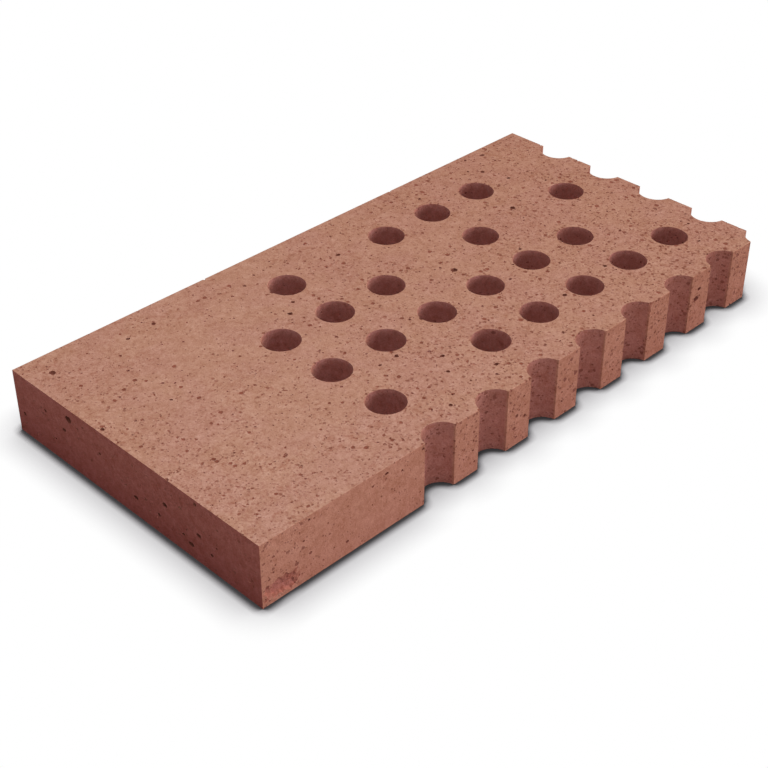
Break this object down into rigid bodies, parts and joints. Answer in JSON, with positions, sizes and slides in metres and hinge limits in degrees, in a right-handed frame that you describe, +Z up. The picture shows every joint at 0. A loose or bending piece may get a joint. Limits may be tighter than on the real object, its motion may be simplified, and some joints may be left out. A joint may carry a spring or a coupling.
{
  "type": "perforated terracotta border tile",
  "caption": "Thick rectangular fired-clay tile with round through holes, half-round notches along one long and one short edge, and a plain solid end.",
  "frame": {"origin": "middle of the underside's bounding rectangle", "axes": "+X along the length towards the notched short edge, +Y across the width towards the plain long edge, +Z up through the thickness, out of the upper face"},
  "size_m": [0.298, 0.1474, 0.029],
  "materials": {
    "terracotta": "matt unglazed fired clay, salmon brown with dark red-brown pores"
  },
  "bodies": {
    "root": {"tile": "terracotta"}
  },
  "joints": []
}
